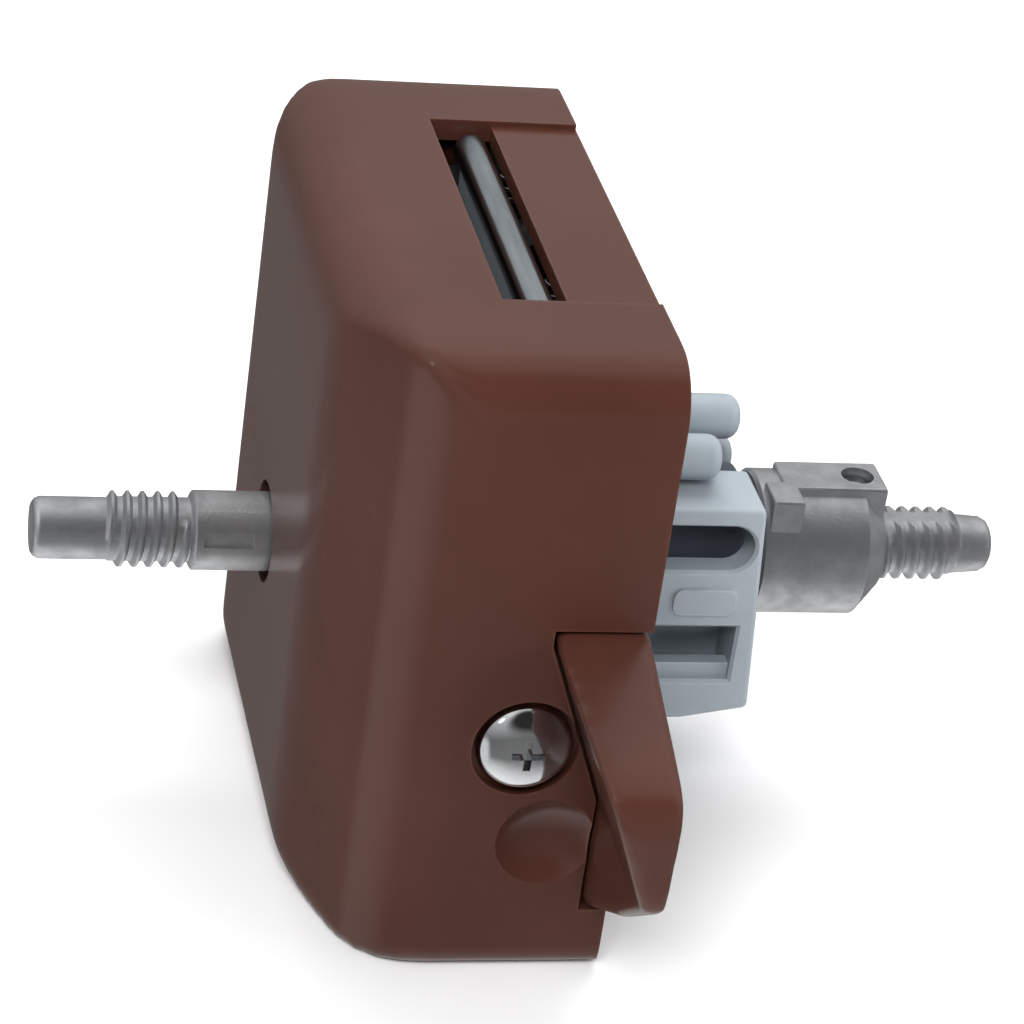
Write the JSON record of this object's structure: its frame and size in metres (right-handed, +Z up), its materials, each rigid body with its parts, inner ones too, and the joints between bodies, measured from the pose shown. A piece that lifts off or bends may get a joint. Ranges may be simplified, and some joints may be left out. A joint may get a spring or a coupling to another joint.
{
  "type": "rim-mounted push-button door lock",
  "caption": "Surface-mounted push-button lock for a thin interior door: square casing with a window over a steel locking bar, a beak-shaped latch claw, and a ridged through spindle.",
  "frame": {"origin": "on the spindle's axis, in the plane of the casing's door-side face", "axes": "+X along the spindle through the door to its outer side, +Y away from the latch claw, +Z up towards the wall with the window"},
  "size_m": [0.0896, 0.075, 0.058],
  "materials": {
    "brown_plastic": "glossy moulded plastic, dark reddish brown",
    "grey_plastic": "satin moulded plastic, light bluish grey",
    "black_plastic": "satin moulded plastic, black",
    "zinc": "die-cast zinc, dull with light pitting",
    "bright_steel": "bright nickel-plated steel",
    "plain_steel": "plain drawn steel",
    "spring_wire": "drawn spring wire",
    "brass": "turned brass"
  },
  "bodies": {
    "lock_body": {"casing": "brown_plastic", "base_plate": "brown_plastic", "case_screws": "plain_steel", "end_screw": "bright_steel", "screw_plate": "plain_steel", "door_pegs": "grey_plastic", "guide": "grey_plastic", "hand_bush": "brass", "keeper_plate": "plain_steel", "keeper_screws": "plain_steel", "detent_ball": "bright_steel", "detent_spring": "spring_wire", "bar_guide": "black_plastic", "bar_springs": "spring_wire", "latch_rod": "plain_steel", "latch_spring": "spring_wire"},
    "pinion": {"drive_pinion": "zinc"},
    "spindle": {"inner_spindle": "zinc", "drive_bar": "plain_steel", "outer_barrel": "zinc", "cross_pin": "bright_steel", "outer_spindle": "zinc", "sleeve_clip": "plain_steel"},
    "sleeve": {"push_sleeve": "grey_plastic"},
    "bar": {"locking_bar": "bright_steel", "bar_carrier": "black_plastic"},
    "latch": {"latch_claw": "brown_plastic", "latch_slide": "black_plastic", "claw_rivets": "plain_steel"}
  },
  "joints": [
    {"name": "knob_turn", "type": "hinge", "parent": "lock_body", "child": "pinion", "pos_m": [0, 0, 0], "axis": [1, 0, 0], "range_deg": [0, 90], "stiffness_Nm_per_rad": 0.02, "springref_deg": -20.05},
    {"name": "knob_push", "type": "slide", "parent": "pinion", "child": "spindle", "axis": [1, 0, 0], "range_m": [-0.006, 0]},
    {"name": "sleeve_travel", "type": "slide", "parent": "lock_body", "child": "sleeve", "axis": [1, 0, 0], "range_m": [-0.006, 0]},
    {"name": "bar_lift", "type": "slide", "parent": "lock_body", "child": "bar", "axis": [0, 0, 1], "range_m": [0, 0.003], "deforming": ["bar_springs"]},
    {"name": "latch_draw", "type": "slide", "parent": "lock_body", "child": "latch", "axis": [0, 1, 0], "range_m": [0, 0.00942], "deforming": ["latch_spring"]}
  ],
  "couplings": [
    {"joint": "sleeve_travel", "follows": "knob_push", "ratio": 1},
    {"joint": "bar_lift", "follows": "knob_push", "ratio": -0.5},
    {"joint": "knob_turn", "follows": "latch_draw", "rad_per_m": 166.67}
  ]
}
